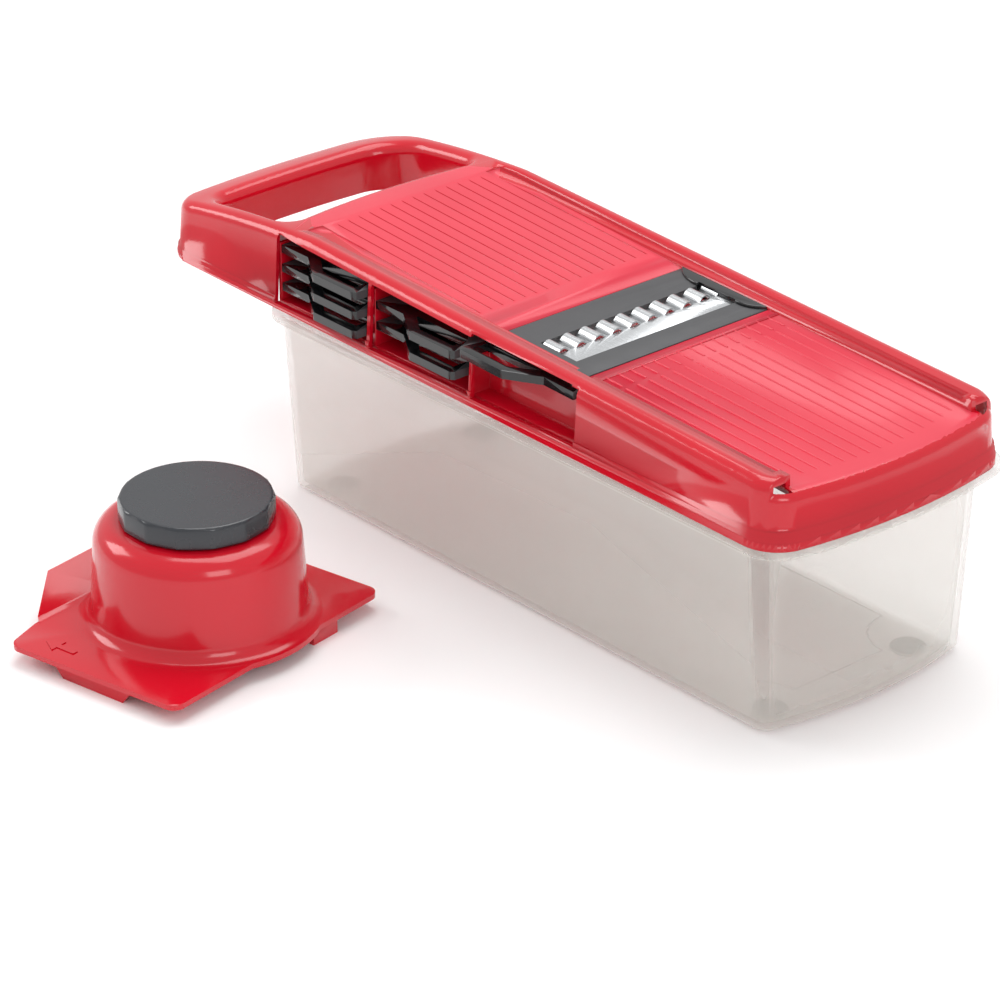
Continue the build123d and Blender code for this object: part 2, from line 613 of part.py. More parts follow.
with BuildPart() as holder_shell:
    # dome, open below, with a collar for the pusher's stem
    with BuildSketch(Plane.XZ):
        with BuildLine():
            Line((48.0, PLATE_UNDER), (48.0, PLATE_UNDER + HOLDER_SKIN))
            ThreePointArc((48.0, PLATE_UNDER + HOLDER_SKIN), (43.6, 9.9),
                          (DOME_RADIUS + 0.8, 14.0))
            Line((DOME_RADIUS + 0.8, 14.0), (DOME_RADIUS - 0.8, 39.6))
            ThreePointArc((DOME_RADIUS - 0.8, 39.6), (37.4, 46.0), (31.2, DOME_TOP))
            Line((31.2, DOME_TOP), (8.6, DOME_TOP))
            Line((8.6, DOME_TOP), (8.6, DOME_TOP - HOLDER_SKIN))
            Line((8.6, DOME_TOP - HOLDER_SKIN), (31.0, DOME_TOP - HOLDER_SKIN))
            ThreePointArc((31.0, DOME_TOP - HOLDER_SKIN), (35.8, 44.3),
                          (DOME_RADIUS - 3.0, 39.4))
            Line((DOME_RADIUS - 3.0, 39.4), (DOME_RADIUS - 1.4, 13.6))
            ThreePointArc((DOME_RADIUS - 1.4, 13.6), (42.0, 8.2), (45.8, PLATE_UNDER))
            Line((45.8, PLATE_UNDER), (48.0, PLATE_UNDER))
        make_face()
    revolve(axis=Axis.Z)
    # the plate that runs on the rails
    with BuildSketch(Plane.XY.offset(PLATE_UNDER)) as plate_plan:
        with BuildLine():
            Polyline((-38.6, -65), (44, -63), (43.6, 56), (-36, 54), (-42.5, 35),
                     (-42.5, -47), (-38.6, -65))
        make_face()
        fillet(plate_plan.vertices(), 5.0)
        Circle(47.0, mode=Mode.SUBTRACT)
    extrude(amount=HOLDER_SKIN)
    # down-turned tabs that hook over the rails, which it stands on here
    for tab_y in (-60.6, 52.0):
        with BuildSketch(Plane.XZ.offset(-tab_y)):
            with BuildLine():
                Polyline((-20.0, PLATE_UNDER + 0.4), (-14.5, 0), (16.0, 0),
                         (21.0, PLATE_UNDER + 0.4), (-20.0, PLATE_UNDER + 0.4))
            make_face()
        extrude(amount=1.1, both=True)
    with BuildSketch(Plane.XY):
        with Locations((41.6, 24.0)):
            Rectangle(2.2, 14.0)
    extrude(amount=PLATE_UNDER + 0.4)
    # the left edge turns up into a leaning finger guard
    with BuildPart(mode=Mode.PRIVATE) as guard:
        with BuildSketch(Plane.XZ):
            with BuildLine():
                Polyline((-40.6, PLATE_UNDER), (-40.6, PLATE_UNDER + HOLDER_SKIN),
                         (-43.4, 8.9), (-54.8, 18.6), (-56.4, 17.2), (-44.2, 6.6),
                         (-42.4, PLATE_UNDER), (-40.6, PLATE_UNDER))
            make_face()
        extrude(amount=50, both=True)
        with BuildSketch(Plane.XY) as guard_plan:
            with BuildLine():
                Polyline((-40, -46.5), (-44, -44.0), (-57, -23.0), (-57, 14.0), (-44, 33.5),
                         (-40, 35.0), (-40, -46.5))
            make_face()
        extrude(amount=30, mode=Mode.INTERSECT)
    add(guard.part)
write_piece(holder_place(holder_shell.part), "holder_shell")

STEM_RADIUS, PUSHER_RADIUS, PUSHER_LOW, PUSHER_HIGH = 8.4, 33.5, 17.0, 19.6
PIN_TIP = 9.0
KNOB_UNDER = DOME_TOP + 0.3
with BuildPart() as pusher:
    with BuildSketch(Plane.XY.offset(PUSHER_LOW)):
        Circle(PUSHER_RADIUS)
        with PolarLocations(24.0, 8):
            Circle(1.0, mode=Mode.SUBTRACT)
        with PolarLocations(11.0, 4):
            Circle(1.0, mode=Mode.SUBTRACT)
    extrude(amount=PUSHER_HIGH - PUSHER_LOW)
    with BuildSketch(Plane.XY.offset(PUSHER_HIGH)):
        Circle(STEM_RADIUS)
    extrude(amount=KNOB_UNDER + 5.0 - PUSHER_HIGH)
write_piece(holder_place(pusher.part), "holder_pusher")

with BuildPart() as pins:
    with BuildSketch(Plane.XY.offset(PIN_TIP)):
        with PolarLocations(24.0, 8):
            Circle(0.95)
        with PolarLocations(11.0, 4):
            Circle(0.95)
    extrude(amount=PUSHER_HIGH - 0.2 - PIN_TIP)
    chamfer(pins.faces().group_by(Axis.Z)[0].edges(), 0.5)
write_piece(holder_place(pins.part), "holder_pins")

with BuildPart() as knob:
    with BuildSketch(Plane.XY.offset(KNOB_UNDER)):
        Circle(KNOB_RADIUS)
    extrude(amount=KNOB_HEIGHT)
    fillet(knob.faces().sort_by(Axis.Z)[-1].edges(), 1.2)
    with BuildSketch(Plane.XY.offset(KNOB_UNDER)):
        Circle(KNOB_RADIUS - 2.2)
        Circle(STEM_RADIUS + 2.4, mode=Mode.SUBTRACT)
    extrude(amount=KNOB_HEIGHT - 2.4, mode=Mode.SUBTRACT)
    with BuildSketch(Plane.XY.offset(KNOB_UNDER)):
        Circle(STEM_RADIUS + 0.05)
    extrude(amount=5.1, mode=Mode.SUBTRACT)
write_piece(holder_place(knob.part), "holder_knob")
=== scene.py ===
"""Looks of a box mandoline: red slicing frame, black blade inserts, clear catch box, food holder.

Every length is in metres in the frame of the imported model: +X runs along the slicer to its
low front end, -Y is the side that the inserts are drawn from, +Z is up and z = 0 is the table.
"""

import json
import logging
import math
from dataclasses import dataclass, field
from enum import Enum

import bmesh
import bpy
from mathutils import Matrix, Vector


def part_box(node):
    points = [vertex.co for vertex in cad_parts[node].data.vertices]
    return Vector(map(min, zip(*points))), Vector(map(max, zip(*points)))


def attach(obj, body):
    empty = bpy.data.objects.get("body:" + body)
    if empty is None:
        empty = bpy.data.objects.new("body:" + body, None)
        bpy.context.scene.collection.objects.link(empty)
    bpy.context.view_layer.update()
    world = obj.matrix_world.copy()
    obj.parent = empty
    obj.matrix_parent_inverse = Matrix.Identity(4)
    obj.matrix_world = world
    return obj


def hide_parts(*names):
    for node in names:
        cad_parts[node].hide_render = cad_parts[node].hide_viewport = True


LOG = logging.getLogger("mandoline")
MM = 0.001

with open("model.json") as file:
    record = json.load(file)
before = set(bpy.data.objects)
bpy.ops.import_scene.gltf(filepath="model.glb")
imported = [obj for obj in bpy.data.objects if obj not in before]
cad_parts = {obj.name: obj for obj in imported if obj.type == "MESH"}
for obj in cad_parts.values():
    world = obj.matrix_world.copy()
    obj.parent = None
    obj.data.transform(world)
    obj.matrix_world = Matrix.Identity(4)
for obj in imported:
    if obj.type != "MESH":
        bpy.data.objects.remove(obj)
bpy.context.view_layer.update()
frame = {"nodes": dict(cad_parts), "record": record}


class InsertKind(Enum):
    """The inserts, by the name that their CAD nodes start with."""

    CRINKLE = "crinkle"
    THICK = "thick_slicer"
    THIN = "thin_slicer"
    GRATER = "coarse_grater"
    WIDE = "wide_julienne"
    FINE = "fine_julienne"


def linear(code: str) -> tuple[float, float, float, float]:
    """Turn an sRGB hex colour into linear RGBA.

    Args:
        code: six hex digits, with or without a leading hash.

    Returns:
        Red, green, blue and an alpha of 1, as linear values.
    """
    digits = code.lstrip("#")
    channels = [int(digits[i:i + 2], 16) / 255 for i in (0, 2, 4)]
    red, green, blue = [c / 12.92 if c <= 0.04045 else ((c + 0.055) / 1.055) ** 2.4
                        for c in channels]
    return red, green, blue, 1.0


def add_node(tree: bpy.types.NodeTree, kind: str, inputs: dict | None = None,
             links: dict | None = None, **settings: object) -> bpy.types.Node:
    """Add one node with its settings, its socket values and its incoming links.

    Args:
        tree: the shader or geometry tree that gets the node.
        kind: the node's bl_idname.
        inputs: socket values, by input name or index.
        links: output sockets that feed this node, by input name or index.
        **settings: attributes of the node itself.

    Returns:
        The new node.
    """
    node = tree.nodes.new(kind)
    for name, value in settings.items():
        setattr(node, name, value)
    for key, value in (inputs or {}).items():
        node.inputs[key].default_value = value
    for key, socket in (links or {}).items():
        tree.links.new(socket, node.inputs[key])
    return node


# ---------------------------------------------------------------- finishes
@dataclass(frozen=True)
class Plastic:
    """A moulded plastic: one colour, a fine grain and soft waves left by the mould.

    Attributes:
        name: the material's name.
        colour: sRGB hex of the moulded colour.
        deep: sRGB hex where the wall is thick and the colour is denser.
        roughness: how dull the moulded skin is.
        grain: pitch of the finest surface grain, in metres.
        grain_depth: height of that grain, in metres.
        coat: strength of a polished skin over the colour.
    """

    name: str
    colour: str
    deep: str
    roughness: float
    grain: float
    grain_depth: float
    coat: float = 0.0

    def make(self) -> bpy.types.Material:
        """Build the node material.

        Returns:
            The material, ready for a slot.
        """
        material = bpy.data.materials.new(self.name)
        material.use_nodes = True
        tree = material.node_tree
        shader = tree.nodes["Principled BSDF"]
        place = add_node(tree, "ShaderNodeTexCoord").outputs["Object"]
        # slow change of density across the moulding, 60 mm across
        flow = add_node(tree, "ShaderNodeTexNoise", {"Scale": 1 / 0.06, "Detail": 2.0},
                        {"Vector": place})
        ramp = add_node(tree, "ShaderNodeValToRGB", links={"Fac": flow.outputs["Fac"]})
        ramp.color_ramp.elements[0].position = 0.25
        ramp.color_ramp.elements[0].color = linear(self.deep)
        ramp.color_ramp.elements[1].position = 0.7
        ramp.color_ramp.elements[1].color = linear(self.colour)
        tree.links.new(ramp.outputs["Color"], shader.inputs["Base Color"])
        # handling marks: slightly duller patches, 9 mm across
        wear = add_node(tree, "ShaderNodeTexNoise", {"Scale": 1 / 0.009, "Detail": 4.0},
                        {"Vector": place})
        dull = add_node(tree, "ShaderNodeMapRange",
                        {"To Min": self.roughness * 0.85, "To Max": self.roughness * 1.2},
                        {"Value": wear.outputs["Fac"]})
        tree.links.new(dull.outputs["Result"], shader.inputs["Roughness"])
        fine = add_node(tree, "ShaderNodeTexNoise", {"Scale": 1 / self.grain, "Detail": 2.0},
                        {"Vector": place})
        skin = add_node(tree, "ShaderNodeBump",
                        {"Strength": 1.0, "Distance": self.grain_depth},
                        {"Height": fine.outputs["Fac"]})
        sink = add_node(tree, "ShaderNodeBump", {"Strength": 1.0, "Distance": 0.00012},
                        {"Height": flow.outputs["Fac"], "Normal": skin.outputs["Normal"]})
        tree.links.new(sink.outputs["Normal"], shader.inputs["Normal"])
        shader.inputs["IOR"].default_value = 1.5
        shader.inputs["Coat Weight"].default_value = self.coat
        shader.inputs["Coat Roughness"].default_value = 0.06
        return material


@dataclass(frozen=True)
class ClearPlastic:
    """Clear styrene, injection moulded, with faint swirls from the gate.

    Attributes:
        name: the material's name.
        tint: sRGB hex of the faint haze in the wall.
        roughness: how much the polished skin scatters.
        veil: how much the wall hides, seen squarely and seen at a glancing angle.
    """

    name: str
    tint: str
    roughness: float
    veil: tuple[float, float] = (0.13, 0.55)

    def make(self) -> bpy.types.Material:
        """Build the node material.

        Returns:
            The material, ready for a slot.
        """
        material = bpy.data.materials.new(self.name)
        material.use_nodes = True
        tree = material.node_tree
        shader = tree.nodes["Principled BSDF"]
        place = add_node(tree, "ShaderNodeTexCoord").outputs["Object"]
        # scuffs from handling, 4 mm apart, a little duller than the polished skin
        scuff = add_node(tree, "ShaderNodeTexNoise", {"Scale": 1 / 0.004, "Detail": 5.0},
                         {"Vector": place})
        dull = add_node(tree, "ShaderNodeMapRange",
                        {"From Min": 0.45, "From Max": 0.75, "To Min": self.roughness,
                         "To Max": self.roughness + 0.05}, {"Value": scuff.outputs["Fac"]})
        tree.links.new(dull.outputs["Result"], shader.inputs["Roughness"])
        # flow lines of the melt, 35 mm apart and a few hundredths of a millimetre high
        flow = add_node(tree, "ShaderNodeTexNoise",
                        {"Scale": 1 / 0.035, "Detail": 2.0, "Distortion": 1.2},
                        {"Vector": place})
        bump = add_node(tree, "ShaderNodeBump", {"Strength": 0.6, "Distance": 0.00018},
                        {"Height": flow.outputs["Fac"]})
        tree.links.new(bump.outputs["Normal"], shader.inputs["Normal"])
        # more of the wall is seen edge-on at a glancing angle, so it veils what is behind it
        slant = add_node(tree, "ShaderNodeLayerWeight", {"Blend": 0.35})
        veil = add_node(tree, "ShaderNodeMapRange",
                        {"To Min": self.veil[0], "To Max": self.veil[1]},
                        {"Value": slant.outputs["Facing"]})
        tree.links.new(veil.outputs["Result"], shader.inputs["Alpha"])
        shader.inputs["Base Color"].default_value = linear(self.tint)
        shader.inputs["IOR"].default_value = 1.5
        return material


@dataclass(frozen=True)
class Steel:
    """Stainless strip, rolled and then ground along one direction.

    Attributes:
        name: the material's name.
        colour: sRGB hex of the metal's reflection.
        roughness: how much the grinding scatters.
    """

    name: str
    colour: str
    roughness: float

    def make(self) -> bpy.types.Material:
        """Build the node material.

        Returns:
            The material, ready for a slot.
        """
        material = bpy.data.materials.new(self.name)
        material.use_nodes = True
        tree = material.node_tree
        shader = tree.nodes["Principled BSDF"]
        place = add_node(tree, "ShaderNodeTexCoord").outputs["Object"]
        # grinding marks: 0.25 mm apart across the blade, long along X
        stretch = add_node(tree, "ShaderNodeMapping", links={"Vector": place})
        stretch.inputs["Scale"].default_value = (160.0, 4000.0, 4000.0)
        marks = add_node(tree, "ShaderNodeTexNoise", {"Scale": 1.0, "Detail": 3.0},
                         {"Vector": stretch.outputs["Vector"]})
        dull = add_node(tree, "ShaderNodeMapRange",
                        {"To Min": self.roughness * 0.7, "To Max": self.roughness * 1.4},
                        {"Value": marks.outputs["Fac"]})
        tree.links.new(dull.outputs["Result"], shader.inputs["Roughness"])
        bump = add_node(tree, "ShaderNodeBump", {"Strength": 0.5, "Distance": 0.00002},
                        {"Height": marks.outputs["Fac"]})
        tree.links.new(bump.outputs["Normal"], shader.inputs["Normal"])
        shader.inputs["Base Color"].default_value = linear(self.colour)
        shader.inputs["Metallic"].default_value = 1.0
        return material


@dataclass
class Finishes:
    """Every material of the object, made once and shared by its pieces."""

    # ABS, injection moulded in a polished mould: saturated red with a bright, tight gloss
    red: Plastic = Plastic("Moulded_ABS_gloss_red", "#CC0A22", "#C2081F", 0.16, 0.0016,
                           0.000004, 0.2)
    # the same ABS on the ramps, where the mould was fine-blasted: a softer sheen from the higher
    # roughness, and a paler red that is painted sheen of the upward-facing ramps
    ramp: Plastic = Plastic("Moulded_ABS_satin_red_painted_sheen", "#DE3046", "#D42A40", 0.34, 0.0006,
                            0.00001, 0.1)
    # glass-filled nylon of the inserts: nearly black, dull, with a sandy grain
    insert: Plastic = Plastic("Glass_filled_nylon_black", "#4A4A4C", "#434345", 0.5, 0.0005,
                              0.00002)
    # ABS of the pulls and the fence: black and polished
    black: Plastic = Plastic("Moulded_ABS_gloss_black", "#131416", "#0F1012", 0.14, 0.0014,
                             0.000004, 0.4)
    # the knob: blue-black ABS with a satin top that spreads the light
    knob: Plastic = Plastic("Moulded_ABS_satin_black", "#2A2D33", "#25272C", 0.27, 0.0009,
                            0.000006, 0.3)
    # thermoplastic rubber pads: grey-brown, dull and slightly dusty
    rubber: Plastic = Plastic("Thermoplastic_rubber_grey", "#9A928A", "#8C847C", 0.75, 0.0008,
                              0.00003)
    # clear styrene box: a hair of warm tint in the thick edges
    clear: ClearPlastic = ClearPlastic("Moulded_clear_styrene", "#F1EFE8", 0.06)
    # ground stainless strip: bright, with fine marks square to the edge
    steel: Steel = Steel("Ground_stainless_strip", "#D5D7D9", 0.24)
    made: dict = field(default_factory=dict)

    def get(self, kind: str) -> bpy.types.Material:
        """The named finish's material, built the first time it is asked for."""
        if kind not in self.made:
            self.made[kind] = getattr(self, kind).make()
        return self.made[kind]


# ---------------------------------------------------------------- shared building steps
def body_of_node(node: str) -> str:
    """Name of the CAD body that a CAD node belongs to."""
    bodies = frame["record"]["behaviour"]["bodies"]
    return next(body for body, nodes in bodies.items() if node in nodes)


def mesh_piece(name: str, mesh: bmesh.types.BMesh, material: bpy.types.Material,
               body: str, smooth: float = 35.0) -> bpy.types.Object:
    """Turn a finished bmesh into a piece that rides on a body.

    Args:
        name: the piece's name.
        mesh: its geometry, in the row frame; it is freed here.
        material: its only material.
        body: the CAD body that it rides on.
        smooth: edges sharper than this many degrees stay crisp.

    Returns:
        The new object.
    """
    data = bpy.data.meshes.new(name)
    mesh.to_mesh(data)
    mesh.free()
    data.materials.append(material)
    data.polygons.foreach_set("use_smooth", [True] * len(data.polygons))
    data.set_sharp_from_angle(angle=math.radians(smooth))
    piece = bpy.data.objects.new(name, data)
    bpy.context.scene.collection.objects.link(piece)
    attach(piece, body)
    LOG.info("%s: %d faces on %s", name, len(data.polygons), body)
    return piece


def refined(node: str, material: bpy.types.Material,
            bevel: float = 0.0) -> bpy.types.Object:
    """Stand a merged, smoothly shaded copy in for a CAD node, with softened edges.

    Args:
        node: the CAD node.
        material: the finish of the copy.
        bevel: width of the edge softening, in metres, or 0 for none.

    Returns:
        The new piece.
    """
    mesh = bmesh.new()
    mesh.from_mesh(frame["nodes"][node].data)
    bmesh.ops.remove_doubles(mesh, verts=mesh.verts, dist=0.000005)
    piece = mesh_piece(node + "_shown", mesh, material, body_of_node(node))
    if bevel > 0:
        soften = piece.modifiers.new("soft_edges", "BEVEL")
        soften.width, soften.segments, soften.limit_method = bevel, 2, "ANGLE"
        soften.angle_limit = math.radians(40)
        soften.harden_normals = True
    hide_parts(node)
    return piece


def bar_along(mesh: bmesh.types.BMesh, start: Vector, end: Vector, width: float,
              height: float) -> None:
    """Add a low bar with a rounded top and ends between two points of a surface.

    Args:
        mesh: the bmesh that gets the bar.
        start: first end, on the surface.
        end: other end, on the surface.
        width: full width of the bar.
        height: how far it stands out of the surface.
    """
    run = (end - start).normalized()
    side = run.cross(Vector((0, 0, 1))).normalized()
    up = side.cross(run).normalized()
    section = [(-0.5, -0.4), (-0.42, 0.45), (-0.18, 0.95), (0.18, 0.95), (0.42, 0.45),
               (0.5, -0.4)]
    rings = []
    for point, scale in ((start, 0.1), (start + run * width * 0.6, 1.0),
                         (end - run * width * 0.6, 1.0), (end, 0.1)):
        rings.append([mesh.verts.new(point + side * (u * width * (0.5 + 0.5 * scale))
                                     + up * (v * height * (scale if v > 0 else 1.0)))
                      for u, v in section])
    for first, second in zip(rings, rings[1:]):
        for index in range(len(section)):
            after = (index + 1) % len(section)
            mesh.faces.new((first[index], first[after], second[after], second[index]))
    mesh.faces.new(rings[0][::-1])
    mesh.faces.new(rings[-1])


def repeat_on_points(name: str, points: list[tuple[Vector, float, float]],
                     unit: bpy.types.Object, material: bpy.types.Material, body: str) -> bpy.types.Object:
    """Set copies of a unit on points with Geometry Nodes, and make one plain mesh of them.

    Args:
        name: the finished piece's name.
        points: place of each copy, its tilt about Y and its length along X.
        unit: the shape to repeat, 1 long along X; it is removed afterwards.
        material: the finish of the copies.
        body: the CAD body that they ride on.

    Returns:
        The finished piece.
    """
    cloud = bpy.data.meshes.new(name + "_points")
    cloud.from_pydata([tuple(p[0]) for p in points], [], [])
    for label, values in (("tilt", [p[1] for p in points]), ("reach", [p[2] for p in points])):
        cloud.attributes.new(label, "FLOAT", "POINT").data.foreach_set("value", values)
    holder = bpy.data.objects.new(name + "_holder", cloud)
    bpy.context.scene.collection.objects.link(holder)

    tree = bpy.data.node_groups.new(name + "_tree", "GeometryNodeTree")
    tree.interface.new_socket("Geometry", in_out="INPUT", socket_type="NodeSocketGeometry")
    tree.interface.new_socket("Unit", in_out="INPUT", socket_type="NodeSocketObject")
    tree.interface.new_socket("Finish", in_out="INPUT", socket_type="NodeSocketMaterial")
    tree.interface.new_socket("Geometry", in_out="OUTPUT", socket_type="NodeSocketGeometry")
    entry = add_node(tree, "NodeGroupInput")
    shape = add_node(tree, "GeometryNodeObjectInfo", links={"Object": entry.outputs["Unit"]})
    tilt = add_node(tree, "GeometryNodeInputNamedAttribute", {"Name": "tilt"},
                    data_type="FLOAT")
    reach = add_node(tree, "GeometryNodeInputNamedAttribute", {"Name": "reach"},
                     data_type="FLOAT")
    heading = add_node(tree, "ShaderNodeCombineXYZ", links={"Y": tilt.outputs["Attribute"]})
    stretch = add_node(tree, "ShaderNodeCombineXYZ", {"Y": 1.0, "Z": 1.0},
                       {"X": reach.outputs["Attribute"]})
    copies = add_node(tree, "GeometryNodeInstanceOnPoints", links={
        "Points": entry.outputs["Geometry"], "Instance": shape.outputs["Geometry"],
        "Rotation": heading.outputs["Vector"], "Scale": stretch.outputs["Vector"]})
    solid = add_node(tree, "GeometryNodeRealizeInstances",
                     links={"Geometry": copies.outputs["Instances"]})
    dressed = add_node(tree, "GeometryNodeSetMaterial", links={
        "Geometry": solid.outputs["Geometry"], "Material": entry.outputs["Finish"]})
    add_node(tree, "NodeGroupOutput", links={"Geometry": dressed.outputs["Geometry"]})

    maker = holder.modifiers.new("repeat", "NODES")
    maker.node_group = tree
    for item in tree.interface.items_tree:
        if item.in_out == "INPUT" and item.name == "Unit":
            maker[item.identifier] = unit
        if item.in_out == "INPUT" and item.name == "Finish":
            maker[item.identifier] = material
    bpy.context.view_layer.update()
    graph = bpy.context.evaluated_depsgraph_get()
    plain = bpy.data.meshes.new_from_object(holder.evaluated_get(graph))
    plain.name = name
    for spare in (holder, unit):
        bpy.data.objects.remove(spare, do_unlink=True)
    plain.polygons.foreach_set("use_smooth", [True] * len(plain.polygons))
    plain.set_sharp_from_angle(angle=math.radians(50))
    piece = bpy.data.objects.new(name, plain)
    bpy.context.scene.collection.objects.link(piece)
    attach(piece, body)
    LOG.info("%s: %d copies, %d faces on %s", name, len(points), len(plain.polygons), body)
    return piece


def ridge_unit(width: float, height: float) -> bpy.types.Object:
    """A ridge 1 m long along +X from the origin, with a rounded top, to be scaled in length.

    Args:
        width: full width across Y.
        height: how far it stands over z = 0.

    Returns:
        The unlinked-to-body object that repeat_on_points uses up.
    """
    mesh = bmesh.new()
    section = [(-0.5, -0.6), (-0.5, 0.0), (-0.34, 0.62), (0.0, 1.0), (0.34, 0.62), (0.5, 0.0),
               (0.5, -0.6)]
    rings = []
    for place, size in ((0.0, 0.05), (0.006, 0.75), (0.015, 1.0), (0.985, 1.0),
                        (0.994, 0.75), (1.0, 0.05)):
        rings.append([mesh.verts.new((place, u * width * (0.4 + 0.6 * size),
                                      v * height * (size if v > 0 else 1.0)))
                      for u, v in section])
    for first, second in zip(rings, rings[1:]):
        for index in range(len(section)):
            after = (index + 1) % len(section)
            mesh.faces.new((first[index], second[index], second[after], first[after]))
    mesh.faces.new(rings[0])
    mesh.faces.new(rings[-1][::-1])
    bmesh.ops.recalc_face_normals(mesh, faces=mesh.faces)
    data = bpy.data.meshes.new("ridge_unit")
    mesh.to_mesh(data)
    mesh.free()
    unit = bpy.data.objects.new("ridge_unit", data)
    bpy.context.scene.collection.objects.link(unit)
    return unit


# ---------------------------------------------------------------- sub-assemblies
@dataclass
class SlicingFrame:
    """The red frame with its two ramps, the tray of storage bays and the fine ribs.

    Attributes:
        finishes: the shared materials.
        upper: height at x = 0 and fall per metre of the ramp before the blade.
        lower: the same for the ramp past the blade.
        ramp_split: x that parts the two ramps.
        ramp_half_width: half the width between the rails.
        lead: start and end of a ridge's short lead.
        long_start: where the ridge goes on after the gap.
        long_end: where it ends beside the rails.
        bow: how much further it runs in the middle, along the bowed front edge.
        ridge_count: number of ridges across the lower ramp.
        ridge_pitch: their spacing.
    """

    finishes: Finishes
    upper: tuple[float, float] = (0.10944, 0.058)
    lower: tuple[float, float] = (0.1098, 0.047)
    ramp_split: float = 0.01
    ramp_half_width: float = 0.0471
    lead: tuple[float, float] = (0.0385, 0.0480)
    long_start: float = 0.0496
    long_end: float = 0.1355
    bow: float = 0.0065
    ridge_count: int = 15
    ridge_pitch: float = 0.0060

    def build(self) -> None:
        """Dress the frame and its tray, and add the ridges of the lower ramp."""
        body = refined("slicer_frame", self.finishes.get("red"))
        self.paint_ramps(body)
        refined("insert_tray", self.finishes.get("red"), 0.0003)
        self.lower_ridges()

    def paint_ramps(self, body: bpy.types.Object) -> None:
        """Give the faces of the two ramps the satin finish, whose paler red is a painted sheen, and leave
        the rest glossy.

        Args:
            body: the frame's piece.
        """
        mesh = body.data
        mesh.materials.append(self.finishes.get("ramp"))
        for face in mesh.polygons:
            x, y, z = face.center
            height, fall = self.upper if x < self.ramp_split else self.lower
            on_ramp = abs(z - (height - fall * x)) < MM
            if face.normal.z > 0.9 and abs(y) < self.ramp_half_width and on_ramp:
                # upward-facing ramp faces take the paler red, a painted sheen of the light that falls on
                # them
                face.material_index = 1

    def lower_ridges(self) -> None:
        """Ridges on the lower ramp: a short lead, a gap, then a long part to the bowed front."""
        height, fall = self.lower
        tilt = math.atan(fall)
        points = []
        for index in range(self.ridge_count):
            y = (index - (self.ridge_count - 1) / 2) * self.ridge_pitch
            front = self.long_end + self.bow * (1 - (y / 0.047) ** 2)
            for start, end in (self.lead, (self.long_start, front)):
                place = Vector((start, y, height - fall * start))
                points.append((place, tilt, (end - start) / math.cos(tilt)))
        repeat_on_points("lower_ramp_ridges", points, ridge_unit(0.0011, 0.0004),
                         self.finishes.get("ramp"), "frame")


@dataclass
class CatchBox:
    """The clear box under the frame, its pads and the raised lines of its floor.

    Attributes:
        finishes: the shared materials.
        floor: height of the floor's top, where the raised lines are rooted.
        line_height: how far the raised lines stand over it.
        gate: place of the moulding gate's rings on the floor.
    """

    finishes: Finishes
    floor: float = 0.0039
    line_height: float = 0.0003
    gate: tuple[float, float] = (0.018, 0.0)

    def build(self) -> None:
        """Dress the box and the pads, and add the floor's lines."""
        refined("catch_box", self.finishes.get("clear"))
        for node in sorted(n for n in frame["nodes"] if n.startswith("foot_pad")):
            refined(node, self.finishes.get("rubber"), 0.0002)
        self.floor_lines()

    def floor_lines(self) -> None:
        """Raised outline on the floor, cut in round the pads, and the gate's two rings."""
        mesh = bmesh.new()
        reach_x, reach_y, notch = 0.1245, 0.0435, 0.020
        outline = []
        for sign_x, sign_y in ((1, 1), (-1, 1), (-1, -1), (1, -1)):
            corner = Vector((sign_x * reach_x, sign_y * reach_y, self.floor))
            turn = range(0, 7) if sign_x * sign_y > 0 else range(6, -1, -1)
            for step in turn:
                angle = math.radians(90 * step / 6)
                outline.append(corner + Vector((-sign_x * notch * math.sin(angle),
                                                -sign_y * notch * math.cos(angle), 0)))
        for start, end in zip(outline, outline[1:] + outline[:1]):
            if (end - start).length > 0.0002:
                bar_along(mesh, start, end, 0.0009, self.line_height)
        for radius in (0.0045, 0.0085):
            ring = [Vector((self.gate[0] + radius * math.cos(a * math.pi / 16),
                            self.gate[1] + radius * math.sin(a * math.pi / 16), self.floor))
                    for a in range(32)]
            for start, end in zip(ring, ring[1:] + ring[:1]):
                bar_along(mesh, start, end, 0.0007, self.line_height)
        bmesh.ops.recalc_face_normals(mesh, faces=mesh.faces)
        mesh_piece("box_floor_lines", mesh, self.finishes.get("clear"), "base")


@dataclass
class Inserts:
    """The blade inserts: dull plates with glossy pulls, and their steel.

    Attributes:
        finishes: the shared materials.
        pull_line: faces nearer than this Y belong to the polished pull.
        fence_line: faces further than this Y belong to the polished fence.
    """

    finishes: Finishes
    pull_line: float = -0.0455
    fence_line: float = 0.0385

    def build(self) -> None:
        """Dress every insert."""
        for kind in InsertKind:
            for node in sorted(n for n in frame["nodes"] if n.startswith(kind.value)):
                if node.endswith("_frame"):
                    self.plate(node)
                else:
                    refined(node, self.finishes.get("steel"))

    def plate(self, node: str) -> None:
        """Dress one insert's plate: dull in the deck, polished at its pull and its fence.

        Args:
            node: the plate's CAD node.
        """
        piece = refined(node, self.finishes.get("insert"), 0.00025)
        mesh = piece.data
        mesh.materials.append(self.finishes.get("black"))
        for face in mesh.polygons:
            if face.center.y < self.pull_line or face.center.y > self.fence_line:
                face.material_index = 1


